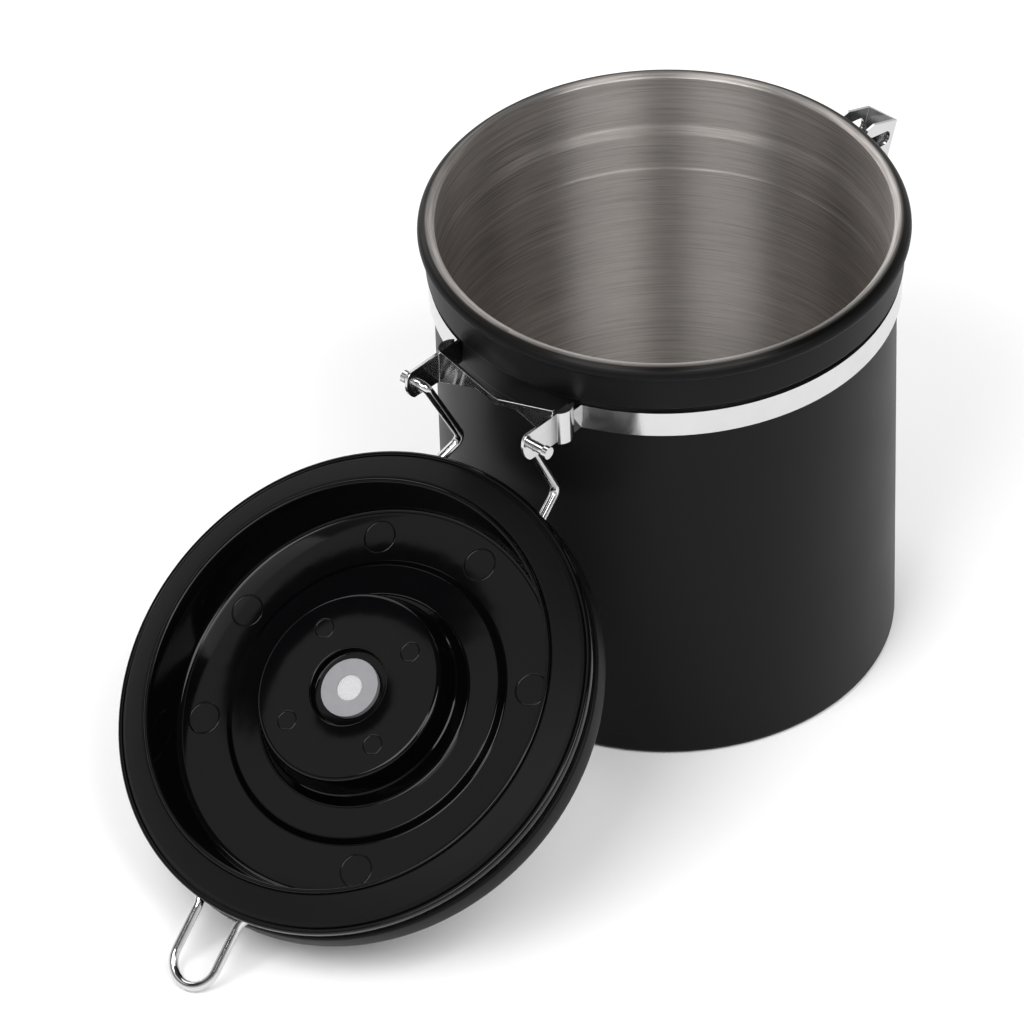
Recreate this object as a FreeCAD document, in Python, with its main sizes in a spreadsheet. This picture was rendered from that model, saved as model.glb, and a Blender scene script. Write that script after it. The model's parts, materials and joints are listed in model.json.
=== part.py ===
import FreeCAD, Part
import Sketcher
import math
import os
from types import SimpleNamespace

Vector = FreeCAD.Vector
Rotation = FreeCAD.Rotation
Placement = FreeCAD.Placement

# Driving sizes in millimetres and degrees: name, value and what it measures.
DRIVING_SIZES = [
    ("rim_lap", 0.3, "inside of the wall behind the inside of the rolled rim"),
    ("body_inset", 3.5, "canister wall inside the rim's widest radius"),
    ("wall", 0.8, "canister wall at its throat"),
    ("base_edge", 1.4, "outside radius of the bottom edge"),
    ("canister_height", 124.9, "table to the top of the rolled rim"),
    ("rim_radius", 60.0, "widest radius of the rolled rim"),
    ("bead_radius", 1.6, "radius of the rolled rim in section"),
    ("neck_inset", 1.7, "neck above the strap, inside the rim"),
    ("bore_step", 0.7, "step inwards from throat to bore inside the canister"),
    ("bore_step_top", 15.3, "upper end of that step below the rim"),
    ("bore_step_bottom", 18.3, "lower end of that step below the rim"),
    ("bore_ring", 28.3, "ring inside the canister below the rim"),
    ("bore_ring_height", 0.6, "height of that ring"),
    ("bore_ring_step", 0.2, "step inwards at that ring"),
    ("seat_inset", 3.2, "canister under the strap, inside the rim"),
    ("seat_margin", 0.5, "seat left bare above and below the strap"),
    ("seat_step", 0.3, "height of the step up to the seat"),
    ("shoulder_rise", 1.5, "height of the slope from seat to neck"),
    ("band_drop", 21.5, "strap's lower edge below the rim"),
    ("band_width", 6.8, "height of the strap"),
    ("band_thickness", 0.9, "strap sheet thickness"),
    ("band_clearance", 0.1, "strap to canister seat"),
    ("sheet", 0.8, "bracket and lever sheet thickness"),
    ("hinge_offset", 10.03, "hinge axis outside the rim"),
    ("hinge_rise", 3.74, "hinge axis above the strap's lower edge"),
    ("pin_clearance", 0.06, "wire in its hole, on the radius"),
    ("ear_outside", 18.8, "outer face of an ear from the middle plane"),
    ("ear_overlap", 5.4, "ear behind the outer face of the hinge web"),
    ("ear_outer_end", 4.3, "ear beyond the hinge axis"),
    ("ear_rise", 8.6, "top of the ears above the strap's lower edge"),
    ("ear_toe_rise", 9.0, "ear's top corner at its outer end, above the strap's lower edge"),
    ("ear_toe_run", 1.6, "length of the ear's rounded top corner"),
    ("ear_toe_fall", 2.0, "height of the ear's rounded top corner"),
    ("ear_toe_round", 2.2, "radius of the ear's rounded top corner"),
    ("ear_end_round", 6.0, "curve of the ear's outer end"),
    ("ear_toe_lift", 0.8, "ear's bottom corner at its outer end, above the strap's lower edge"),
    ("ear_toe_heel", 2.4, "setback of the ear's bottom corner"),
    ("fold_strip", 2.2, "bare length of a folded strap end"),
    ("fold_overlap", 2.0, "folded strap end inside its clasp"),
    ("clasp_curve", 0.61, "radius of a clasp as a share of its width"),
    ("clasp_drop", 0.8, "clasp below the strap's lower edge"),
    ("web_offset", 2.9, "outer face of the hinge web outside the rim"),
    ("web_corner_rise", 9.6, "web's top corner above the strap's lower edge"),
    ("web_corner_drop", 0.2, "web's bottom corner below the strap's lower edge"),
    ("web_notch_half", 0.8, "half width of the dip in the web's top edge"),
    ("web_notch_rise", 4.2, "bottom of that dip above the strap's lower edge"),
    ("web_arch_half", 6.5, "half span between the arches below the web"),
    ("web_arch_rise", 3.9, "top of those arches above the strap's lower edge"),
    ("web_point_rise", 2.2, "web's lowest middle point above the strap's lower edge"),
    ("lid_lift", 2.0, "closed lid's datum plane above the rim"),
    ("lid_opening_most", 214.0, "widest angle the lid opens to"),
    ("table_gap", 0.05, "opened lid's wire above the table"),
    ("lid_overhang", 1.77, "liner's flange outside the rim"),
    ("lip_width", 1.27, "width of the lip round the gasket"),
    ("liner_lip_face", 0.2, "depth of the lip's face"),
    ("gasket_seat", 0.7, "depth of the gasket's seat"),
    ("flange_back", 2.3, "back of the liner's flange"),
    ("groove_depth", 3.77, "depth of the wire groove"),
    ("liner_wall", 1.8, "liner thickness"),
    ("rim_depth", 4.0, "liner's inner rim in front of the datum plane"),
    ("liner_rim", 1.1, "thickness of the liner's inner rim"),
    ("trough_depth", 9.2, "floor of the trough behind the datum plane"),
    ("trough_draft", 2.1, "slope of the trough's outer wall"),
    ("ledge_depth", 7.7, "ledge round the hub"),
    ("ledge_width", 7.8, "width of the ledge"),
    ("ledge_slope", 1.5, "width of the slope from ledge to floor"),
    ("hub_face", 2.0, "hub face in front of the datum plane"),
    ("hub_radius", 23.9, "hub at its face"),
    ("hub_draft", 3.3, "slope of the hub's wall"),
    ("hub_edge", 1.2, "edge radius of the hub"),
    ("recess_radius", 9.7, "recess round the valve"),
    ("recess_floor", 0.2, "floor of the recess behind the datum plane"),
    ("gasket_gap", 0.3, "gasket to the lip round it"),
    ("gasket_width", 7.2, "width of the gasket"),
    ("gasket_inner_face", 3.9, "gasket at its inner edge, in front of the datum plane"),
    ("gasket_rounding", 0.8, "gasket's outer edge beyond its sloping face"),
    ("gasket_break_face", 0.7, "gasket there, in front of the datum plane"),
    ("cap_setback", 0.17, "lid cap inside the liner's flange"),
    ("cap_bottom", 5.2, "lower edge of the lid cap"),
    ("cap_top", 12.4, "top of the lid cap"),
    ("cap_edge", 2.7, "outside radius of the lid cap's top edge"),
    ("cap_clearance", 0.3, "lid cap's hem to the liner"),
    ("wire_radius", 1.2, "lid wire"),
    ("wire_gap", 0.2, "lid wire to the bottom of its groove"),
    ("ring_depth", 3.73, "middle of the wire behind the datum plane"),
    ("pin_overhang", 4.2, "hinge pin beyond an ear"),
    ("pin_upset", 0.35, "hinge pin's upset end beyond the wire's radius"),
    ("pin_head_length", 1.4, "length of the upset end"),
    ("leg_clearance", 2.1, "middle of a wire leg to its ear"),
    ("knee_offset", 5.51, "knee of a wire leg outside the liner's flange"),
    ("knee_inset", 0.67, "knee of a wire leg nearer the middle plane than its foot"),
    ("knee_depth", 5.08, "knee of a wire leg, behind the datum plane"),
    ("leg_corner_offset", 0.23, "corner between leg and ring, outside the ring"),
    ("leg_spread", 1.2, "that corner farther from the middle plane than the leg's foot"),
    ("loop_root_run", 5.2, "ring's straight run into a corner of the front loop"),
    ("loop_half", 6.3, "half width of the front loop"),
    ("loop_length", 18.83, "front loop beyond the liner's flange"),
    ("loop_slope", 12.55, "tilt of the front loop towards the lid's top"),
    ("loop_bend", 5.0, "bend radius at the front loop's corners"),
    ("wire_bend", 2.4, "bend radius of the lid wire"),
    ("pin_bend", 1.6, "bend radius at the hinge pins"),
    ("valve_radius", 7.4, "valve flange"),
    ("valve_flange", 1.4, "valve flange thickness"),
    ("valve_tube", 5.0, "outside of the valve tube"),
    ("valve_tube_top", 4.0, "end of the valve tube"),
    ("valve_bore", 3.3, "bore of the valve tube"),
    ("valve_clearance", 0.1, "valve tube in the liner"),
    ("valve_lip", 0.6, "retaining lip of the valve tube"),
    ("filter_thickness", 1.6, "filter disc"),
    ("filter_recess", 0.3, "filter behind the valve's face"),
    ("flap_radius", 4.6, "valve flap"),
    ("flap_thickness", 0.8, "valve flap"),
    ("flap_gap", 0.05, "valve flap above its seat when shut"),
    ("flap_lift", 0.8, "travel of the valve flap"),
    ("flap_clearance", 0.3, "valve flap to its cage"),
    ("cage_wall", 1.1, "wall of the vent tube"),
    ("cage_overlap", 0.3, "vent tube above the valve tube"),
    ("stop_bore", 2.5, "hole in the flap's stop"),
    ("vent_radius", 9.0, "vent cap"),
    ("vent_height", 2.2, "vent cap above the lid"),
    ("vent_edge", 1.2, "edge radius of the vent cap"),
    ("vent_clearance", 0.2, "vent tube in the lid cap"),
    ("vent_hole", 0.8, "outlet hole"),
    ("vent_hole_circle", 3.0, "circle of the outlet holes"),
    ("lever_half", 4.6, "half width of the lever"),
    ("lever_tilt", 22.0, "lean of the lever from upright"),
    ("lever_web", 4.1, "outer face of the lever from the hook seat"),
    ("lever_top", 4.6, "top of the lever above the hook seat"),
    ("lever_length", 56.6, "length of the lever"),
    ("lever_tail_depth", 6.1, "depth of the lever's sides at the tail"),
    ("nose_reach", 7.9, "hook nose, inwards from the seat"),
    ("nose_chamfer", 2.6, "length of the hook nose's corner"),
    ("nose_fall", 1.3, "height of the hook nose's corner"),
    ("nose_tip", 1.6, "underside of the hook nose at its end"),
    ("throat_reach", 5.2, "narrowest place of the hook slot, inwards from the seat"),
    ("throat_top", 1.1, "upper side of the slot there"),
    ("slot_half", 1.9, "half width of the hook slot"),
    ("slot_end", 0.7, "middle of the slot's round end, outwards from the seat"),
    ("cheek_reach", 7.5, "lever side below the slot, inwards from the seat"),
    ("mouth_drop", 4.0, "lower side of the slot's mouth"),
    ("pivot_below", 14.05, "lever pivot below the hook seat"),
    ("pivot_inwards", 4.3, "lever pivot inwards from the hook seat"),
    ("cheek_below", 4.5, "lever side below its pivot, before it tapers"),
    ("lever_flare", 2.0, "outward step of the lever's tail"),
    ("flare_length", 7.0, "length of the lever's tail step"),
    ("tail_taper", 3.5, "taper of the lever's sides at the tail"),
    ("link_wire", 0.8, "radius of the link wire"),
    ("link_half", 2.6, "link leg from the middle plane"),
    ("link_end", 5.5, "end of the link from the middle plane"),
    ("link_bend", 1.1, "bend radius of the link"),
    ("arm_length", 9.4, "link's fixed pivot outside the latch plate"),
    ("link_rise", 4.2, "link's fixed pivot above the strap's lower edge"),
    ("knuckle_radius", 1.8, "outside of the bracket's knuckle"),
    ("knuckle_half", 1.4, "half width of the knuckle"),
    ("plate_half_angle", 6.5, "half angle of the latch plate round the strap"),
    ("plate_margin", 0.4, "latch plate above the strap's lower edge"),
    ("plate_height", 6.1, "height of the latch plate"),
    ("arm_margin", 0.8, "knuckle arm above the lower edge of the latch plate"),
    ("rivet_half", 3.9, "rivet from the middle plane"),
    ("rivet_rise", 3.4, "rivets above the strap's lower edge"),
    ("rivet_shank", 0.75, "rivet shank radius"),
    ("rivet_head", 1.3, "rivet head radius"),
    ("rivet_head_height", 0.6, "rivet head height"),
    ("rivet_head_side", 0.24, "height of a rivet head's side"),
    ("rivet_head_flat", 0.7, "radius of a rivet head's flat top"),
    ("rivet_tail", 0.2, "rivet shank short of the inside of the strap"),
    ("rivet_clearance", 0.05, "rivet shank in its holes"),
]


class Size:
    """A number together with the spreadsheet formula it comes from."""

    def __init__(self, value, formula):
        self.value = value
        self.formula = formula

    def join(self, sign, other, value):
        return Size(value, "(" + self.formula + " " + sign + " " + other.formula + ")")

    def __add__(self, other):
        other = as_size(other)
        return self.join("+", other, self.value + other.value)

    def __sub__(self, other):
        other = as_size(other)
        return self.join("-", other, self.value - other.value)

    def __mul__(self, other):
        other = as_size(other)
        return self.join("*", other, self.value * other.value)

    def __neg__(self):
        return Size(-self.value, "(0 - " + self.formula + ")")


def other_side(longest, side):
    """The third side of a right-angled triangle."""
    value = math.sqrt(longest.value ** 2 - side.value ** 2)
    square = longest.formula + " * " + longest.formula + " - " + side.formula + " * " + side.formula
    return Size(value, "sqrt(" + square + ")")


def longest_side(first, second):
    """The longest side of a right-angled triangle."""
    square = first.formula + " * " + first.formula + " + " + second.formula + " * " + second.formula
    return Size(math.hypot(first.value, second.value), "sqrt(" + square + ")")


def as_size(number):
    """Let a plain number stand beside named sizes."""
    if isinstance(number, Size):
        return number
    return Size(float(number), "(" + format(float(number), ".6f") + ")")


def cell_name(index):
    return "A" + str(index + 1)


def new_sheet(document):
    """Write the driving sizes to a spreadsheet and return them as Size values."""
    sheet = document.addObject("Spreadsheet::Sheet", "Sizes")
    for index, (name, value, meaning) in enumerate(DRIVING_SIZES):
        sheet.set(cell_name(index), str(value))
        sheet.setAlias(cell_name(index), name)
        sheet.set("B" + str(index + 1), meaning)
    document.recompute()
    named = {}
    for name, value, meaning in DRIVING_SIZES:
        named[name] = Size(float(sheet.get(name)), "Sizes." + name)
    return SimpleNamespace(**named)


doc = FreeCAD.newDocument("CoffeeCanister")
k = new_sheet(doc)

# Radii and heights of the canister follow from its rim.
k.neck_radius = k.rim_radius - k.neck_inset
k.seat_radius = k.rim_radius - k.seat_inset
k.body_radius = k.rim_radius - k.body_inset
k.throat_radius = k.seat_radius - k.wall
k.bore_radius = k.throat_radius - k.bore_step
k.band_bottom = k.canister_height - k.band_drop
BEAD_HEIGHT = k.canister_height - k.bead_radius
SEAT_BOTTOM = k.band_bottom - k.seat_margin
BAND_TOP = k.band_bottom + k.band_width
SEAT_TOP = BAND_TOP + k.seat_margin
BAND_INSIDE = k.seat_radius + k.band_clearance
BAND_OUTSIDE = BAND_INSIDE + k.band_thickness
PLATE_OUTSIDE = BAND_OUTSIDE + k.sheet

# Hinge and latch are placed from the strap.
k.hinge_reach = k.rim_radius + k.hinge_offset
k.hinge_height = k.band_bottom + k.hinge_rise
k.ear_top = k.band_bottom + k.ear_rise
k.ear_toe_top = k.band_bottom + k.ear_toe_rise
k.ear_toe_bottom = k.band_bottom + k.ear_toe_lift
k.clasp_bottom = k.band_bottom - k.clasp_drop
k.web_outside = k.rim_radius + k.web_offset
k.ear_inner_end = k.web_outside - k.ear_overlap
k.web_corner_top = k.band_bottom + k.web_corner_rise
k.web_corner_bottom = k.band_bottom - k.web_corner_drop
k.web_notch_top = k.band_bottom + k.web_notch_rise
k.web_arch_top = k.band_bottom + k.web_arch_rise
k.web_point = k.band_bottom + k.web_point_rise
k.fold_inner_end = other_side(BAND_INSIDE + k.band_thickness * 0.5, k.ear_outside + k.sheet * 0.5)
k.clasp_start = k.fold_inner_end + k.fold_strip
k.link_reach = PLATE_OUTSIDE + k.arm_length
k.link_height = k.band_bottom + k.link_rise
k.plate_bottom = k.band_bottom + k.plate_margin
k.plate_top = k.plate_bottom + k.plate_height
k.arm_bottom = k.plate_bottom + k.arm_margin
k.rivet_height = k.band_bottom + k.rivet_rise

# The lid follows from the rim, its wire from the lid and the hinge.
k.lid_plane = k.canister_height + k.lid_lift
k.liner_radius = k.rim_radius + k.lid_overhang
k.liner_lip = k.liner_radius - k.lip_width
k.liner_neck = k.liner_radius - k.groove_depth
k.gasket_radius = k.liner_lip - k.gasket_gap
k.gasket_break_radius = k.gasket_radius - k.gasket_rounding
k.rim_outside = k.gasket_radius - k.gasket_width
k.rim_inside = k.rim_outside - k.liner_rim
k.trough_radius = k.rim_inside - k.trough_draft
k.hub_root = k.hub_radius + k.hub_draft
k.ledge_radius = k.hub_root + k.ledge_width
k.cap_radius = k.liner_radius - k.cap_setback
k.ring_radius = k.liner_neck + k.wire_radius + k.wire_gap
k.pin_end = k.ear_outside + k.pin_overhang
k.pin_head_radius = k.wire_radius + k.pin_upset
k.leg_foot = k.ear_outside - k.sheet - k.leg_clearance
k.knee_half = k.leg_foot - k.knee_inset
k.knee_reach = k.liner_radius + k.knee_offset
k.leg_corner_half = k.leg_foot + k.leg_spread
k.leg_corner_reach = other_side(k.ring_radius + k.leg_corner_offset, k.leg_corner_half)
k.loop_corner_reach = other_side(longest_side(k.ring_radius, k.loop_root_run), k.loop_half)
k.loop_tip = k.liner_radius + k.loop_length

# Other derived sizes shared by several pieces.
EAR_INSIDE = k.ear_outside - k.sheet
WEB_INSIDE = k.web_outside - k.sheet
PIN_HOLE = k.wire_radius + k.pin_clearance
LINK_HOLE = k.link_wire + k.pin_clearance
RIVET_HOLE = k.rivet_shank + k.rivet_clearance
VALVE_HOLE = k.valve_tube + k.valve_clearance
RECESS_BACK = k.recess_floor + k.liner_wall
CAP_INSIDE_TOP = k.cap_top - k.sheet
FLAP_BOTTOM = k.valve_tube_top + k.flap_gap
STOP_BOTTOM = FLAP_BOTTOM + k.flap_thickness + k.flap_lift + k.flap_gap
CAGE_INSIDE = k.flap_radius + k.flap_clearance
CAGE_OUTSIDE = CAGE_INSIDE + k.cage_wall
VENT_OPENING = CAGE_OUTSIDE + k.vent_clearance

ROUGHLY = 1e-7


def new_body(label):
    body = doc.addObject("PartDesign::Body", label)
    body.Label = label
    return body


def origin_plane(body, role):
    """Find one of the body's own base planes."""
    for feature in body.Origin.OriginFeatures:
        if feature.Role == role:
            return feature
    raise RuntimeError("no plane " + role)


def new_sketch(body, name, role, offset=0):
    """Start a sketch on a base plane, moved along the plane's normal."""
    sketch = body.newObject("Sketcher::SketchObject", name)
    sketch.AttachmentSupport = (origin_plane(body, role), [""])
    sketch.MapMode = "FlatFace"
    sketch.setExpression("AttachmentOffset.Base.z", as_size(offset).formula)
    return sketch


def arc_geometry(start, end, radius):
    """An arc from start to end that turns left, or right for a negative radius."""
    chord = end - start
    middle = (start + end) * 0.5
    half = chord.Length * 0.5
    height = math.sqrt(max(radius * radius - half * half, 0.0))
    left = Vector(-chord.y, chord.x, 0).normalize()
    centre = middle + left * math.copysign(height, radius)
    circle = Part.Circle(centre, Vector(0, 0, 1), abs(radius))
    first, last = (start, end) if radius > 0 else (end, start)
    return Part.ArcOfCircle(circle, circle.parameter(first), circle.parameter(last))


def pin_down(sketch, items):
    """Add constraints and bind their values to the named sizes."""
    indices = sketch.addConstraint([item[0] for item in items])
    for index, item in zip(indices, items):
        if item[1] is not None:
            sketch.setExpression("Constraints[" + str(index) + "]", item[1].formula)


def place_point(geometry, position, x, y):
    """Constraints that hold one point at x, y."""
    items = []
    for kind, axis, amount in (("DistanceX", -2, x), ("DistanceY", -1, y)):
        if abs(amount.value) < ROUGHLY:
            items.append((Sketcher.Constraint("PointOnObject", geometry, position, axis), None))
        else:
            constraint = Sketcher.Constraint(kind, -1, 1, geometry, position, amount.value)
            items.append((constraint, amount))
    return items


def draw(sketch, outline):
    """Draw a closed outline of corners (x, y); a third value is the radius of the arc to the next corner."""
    points = [(as_size(corner[0]), as_size(corner[1])) for corner in outline]
    count = len(outline)
    base = sketch.GeometryCount
    ends = []
    items = []
    for i, corner in enumerate(outline):
        following = points[(i + 1) % count]
        start = Vector(points[i][0].value, points[i][1].value, 0)
        end = Vector(following[0].value, following[1].value, 0)
        if len(corner) == 3:
            sketch.addGeometry(arc_geometry(start, end, corner[2].value), False)
            ends.append((1, 2) if corner[2].value > 0 else (2, 1))
            size = corner[2] if corner[2].value > 0 else -corner[2]
            items.append((Sketcher.Constraint("Radius", base + i, size.value), size))
        else:
            sketch.addGeometry(Part.LineSegment(start, end), False)
            ends.append((1, 2))
    for i in range(count):
        j = (i + 1) % count
        items.append((Sketcher.Constraint("Coincident", base + i, ends[i][1], base + j, ends[j][0]), None))
    for i in range(count):
        items.extend(place_point(base + i, ends[i][0], points[i][0], points[i][1]))
    pin_down(sketch, items)


def draw_circle(sketch, x, y, radius):
    """Draw a circle about x, y."""
    x, y, radius = as_size(x), as_size(y), as_size(radius)
    index = sketch.GeometryCount
    circle = Part.Circle(Vector(x.value, y.value, 0), Vector(0, 0, 1), radius.value)
    sketch.addGeometry(circle, False)
    items = [(Sketcher.Constraint("Radius", index, radius.value), radius)]
    items.extend(place_point(index, 3, x, y))
    pin_down(sketch, items)


def turn(body, name, outline, half_angle=None):
    """Turn an outline of (radius, height) corners about the body's Z axis."""
    sketch = new_sketch(body, name + "_section", "XZ_Plane")
    draw(sketch, outline)
    feature = body.newObject("PartDesign::Revolution", name)
    feature.Profile = sketch
    feature.ReferenceAxis = (sketch, ["V_Axis"])
    feature.Angle = 360
    if half_angle is not None:
        feature.Midplane = True
        feature.setExpression("Angle", (half_angle * 2).formula)
    sketch.Visibility = False
    return feature


def pad(body, name, sketch, length):
    feature = body.newObject("PartDesign::Pad", name)
    feature.Profile = sketch
    feature.setExpression("Length", as_size(length).formula)
    sketch.Visibility = False
    return feature


def pocket(body, name, sketch, depth):
    """Cut a sketch into the body against the sketch's normal and see that it cut something."""
    doc.recompute()
    before = body.Shape.Volume
    feature = body.newObject("PartDesign::Pocket", name)
    feature.Profile = sketch
    feature.setExpression("Length", as_size(depth).formula)
    sketch.Visibility = False
    doc.recompute()
    if body.Shape.Volume >= before - ROUGHLY:
        raise RuntimeError(name + " cut nothing")
    return feature


def mirror(body, name, features):
    """Repeat features on the other side of the middle plane."""
    doc.recompute()
    feature = body.newObject("PartDesign::Mirrored", name)
    feature.Originals = features
    feature.MirrorPlane = (origin_plane(body, "XZ_Plane"), [""])
    body.Tip = feature
    doc.recompute()
    return feature


def rounded_path(points, bends):
    """Edges along a line of points, each inner corner rounded by its bend radius."""
    edges = []
    start = points[0]
    for i in range(1, len(points) - 1):
        back = (points[i - 1] - points[i]).normalize()
        ahead = (points[i + 1] - points[i]).normalize()
        turning = math.pi - back.getAngle(ahead)
        run = bends[i - 1] * math.tan(turning / 2)
        enter = points[i] + back * run
        leave = points[i] + ahead * run
        inwards = (back + ahead).normalize()
        centre = points[i] + inwards * (bends[i - 1] / math.cos(turning / 2))
        edges.append(Part.makeLine(start, enter))
        edges.append(Part.Arc(enter, centre - inwards * bends[i - 1], leave).toShape())
        start = leave
    edges.append(Part.makeLine(start, points[-1]))
    return edges


def round_bar(edges, radius):
    """A round bar along joined edges."""
    path = Part.Wire(edges)
    start = path.OrderedVertexes[0].Point
    direction = path.OrderedEdges[0].tangentAt(path.OrderedEdges[0].FirstParameter)
    section = Part.Wire([Part.Circle(start, direction, radius).toShape()])
    return path.makePipeShell([section], True, True)


def new_feature(label, shape, placement):
    """A sub-part that is a bent wire."""
    feature = doc.addObject("Part::Feature", label)
    feature.Label = label
    feature.Shape = shape
    feature.Placement = placement
    return feature


def loop_depth(reach):
    """How far behind the datum plane the front loop is at a distance from the lid's axis."""
    slope = math.tan(math.radians(k.loop_slope.value))
    return k.ring_depth.value + (reach - k.loop_corner_reach.value) * slope


def lid_opening():
    """Angle at which the opened lid's front loop comes to rest on the table."""
    across = k.hinge_reach.value + k.loop_tip.value
    above = k.lid_plane.value + loop_depth(k.loop_tip.value) - k.hinge_height.value
    fall = k.hinge_height.value - k.wire_radius.value - k.table_gap.value
    below_level = math.degrees(math.asin(min(1.0, fall / math.hypot(across, above))))
    angle = 180 + below_level - math.degrees(math.atan2(above, across))
    return min(angle, k.lid_opening_most.value)


def lid_placement():
    """Where the lid's pieces stand when it is opened about the hinge axis."""
    hinge = Vector(-k.hinge_reach.value, 0, k.hinge_height.value)
    closed = Placement(Vector(0, 0, k.lid_plane.value), Rotation())
    opened = Placement(Vector(0, 0, 0), Rotation(Vector(0, 1, 0), -lid_opening()), hinge)
    return opened.multiply(closed)


def make_canister_body():
    """Canister with a seat for the strap, a neck and a rolled rim; its bore has a step and a ring of its own."""
    shell = new_body("canister_shell")
    inner_edge = k.base_edge - k.wall
    shoulder_top = SEAT_TOP + k.shoulder_rise
    step_top = SEAT_BOTTOM + k.seat_step
    ring_top = k.canister_height - k.bore_ring
    bottom_radius = k.bore_radius - k.bore_ring_step
    turn(shell, "canister_wall", [
        (0, 0),
        (k.body_radius - k.base_edge, 0, k.base_edge),
        (k.body_radius, k.base_edge),
        (k.body_radius, SEAT_BOTTOM),
        (k.seat_radius, step_top),
        (k.seat_radius, SEAT_TOP),
        (k.neck_radius, shoulder_top),
        (k.neck_radius, BEAD_HEIGHT),
        (k.rim_radius - k.bead_radius * 2 + k.rim_lap, BEAD_HEIGHT),
        (k.throat_radius, SEAT_TOP),
        (k.throat_radius, k.canister_height - k.bore_step_top),
        (k.bore_radius, k.canister_height - k.bore_step_bottom),
        (k.bore_radius, ring_top),
        (bottom_radius, ring_top - k.bore_ring_height),
        (bottom_radius, k.wall + inner_edge, -inner_edge),
        (bottom_radius - inner_edge, k.wall),
        (0, k.wall),
    ])
    bead = doc.addObject("Part::Torus", "rolled_rim")
    bead.setExpression("Radius1", (k.rim_radius - k.bead_radius).formula)
    bead.setExpression("Radius2", k.bead_radius.formula)
    bead.setExpression("Placement.Base.z", BEAD_HEIGHT.formula)
    canister = doc.addObject("Part::Fuse", "canister_body")
    canister.Label = "canister_body"
    canister.Base = shell
    canister.Tool = bead
    return canister


def make_neck_band():
    """Strap round the neck; at the hinge its two ends are folded outwards into rounded clasps."""
    band = new_body("neck_band")
    turn(band, "strap", [
        (BAND_INSIDE, k.band_bottom),
        (BAND_OUTSIDE, k.band_bottom),
        (BAND_OUTSIDE, BAND_TOP),
        (BAND_INSIDE, BAND_TOP),
    ])
    opening = new_sketch(band, "strap_opening", "XY_Plane", BAND_TOP)
    draw(opening, [
        (-k.rim_radius, -k.ear_outside),
        (0, -k.ear_outside),
        (0, k.ear_outside),
        (-k.rim_radius, k.ear_outside),
    ])
    pocket(band, "strap_gap", opening, k.band_width)
    fold = new_sketch(band, "fold_outline", "XZ_Plane", k.ear_outside)
    fold_end = k.clasp_start + k.fold_overlap
    draw(fold, [
        (-k.fold_inner_end, k.band_bottom),
        (-k.fold_inner_end, BAND_TOP),
        (-fold_end, BAND_TOP),
        (-fold_end, k.band_bottom),
    ])
    folded_end = pad(band, "folded_end", fold, k.sheet)
    clasp = new_sketch(band, "clasp_outline", "XY_Plane", k.clasp_bottom)
    draw(clasp, [
        (-WEB_INSIDE, -k.ear_outside, (WEB_INSIDE - k.clasp_start) * k.clasp_curve),
        (-k.clasp_start, -k.ear_outside),
    ])
    clasped_end = pad(band, "clasped_end", clasp, k.ear_top - k.clasp_bottom)
    mirror(band, "folded_ends", [folded_end, clasped_end])
    holes = new_sketch(band, "rivet_hole_outline", "YZ_Plane", BAND_OUTSIDE)
    draw_circle(holes, -k.rivet_half, k.rivet_height, RIVET_HOLE)
    draw_circle(holes, k.rivet_half, k.rivet_height, RIVET_HOLE)
    pocket(band, "rivet_holes", holes, k.band_thickness * 2)
    return band


def make_hinge_bracket():
    """Bow-tie web between two ears that carry the hinge pins."""
    bracket = new_body("hinge_bracket")
    web = new_sketch(bracket, "web_outline", "YZ_Plane", -k.web_outside)
    draw(web, [
        (-EAR_INSIDE, k.web_corner_bottom),
        (-k.web_arch_half, k.web_arch_top),
        (0, k.web_point),
        (k.web_arch_half, k.web_arch_top),
        (EAR_INSIDE, k.web_corner_bottom),
        (EAR_INSIDE, k.web_corner_top),
        (k.web_notch_half, k.web_notch_top),
        (-k.web_notch_half, k.web_notch_top),
        (-EAR_INSIDE, k.web_corner_top),
    ])
    pad(bracket, "web", web, k.sheet)
    ear = new_sketch(bracket, "ear_outline", "XZ_Plane", EAR_INSIDE)
    toe = k.hinge_reach + k.ear_outer_end
    draw(ear, [
        (-k.ear_inner_end, k.band_bottom),
        (-k.ear_inner_end, k.ear_top),
        (-k.web_outside, k.ear_top),
        (-(toe - k.ear_toe_run), k.ear_toe_top, k.ear_toe_round),
        (-toe, k.ear_toe_top - k.ear_toe_fall, k.ear_end_round),
        (-(toe - k.ear_toe_heel), k.ear_toe_bottom),
        (-k.web_outside, k.band_bottom),
    ])
    draw_circle(ear, -k.hinge_reach, k.hinge_height, PIN_HOLE)
    one_ear = pad(bracket, "ear", ear, k.sheet)
    mirror(bracket, "ears", [one_ear])
    return bracket


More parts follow.
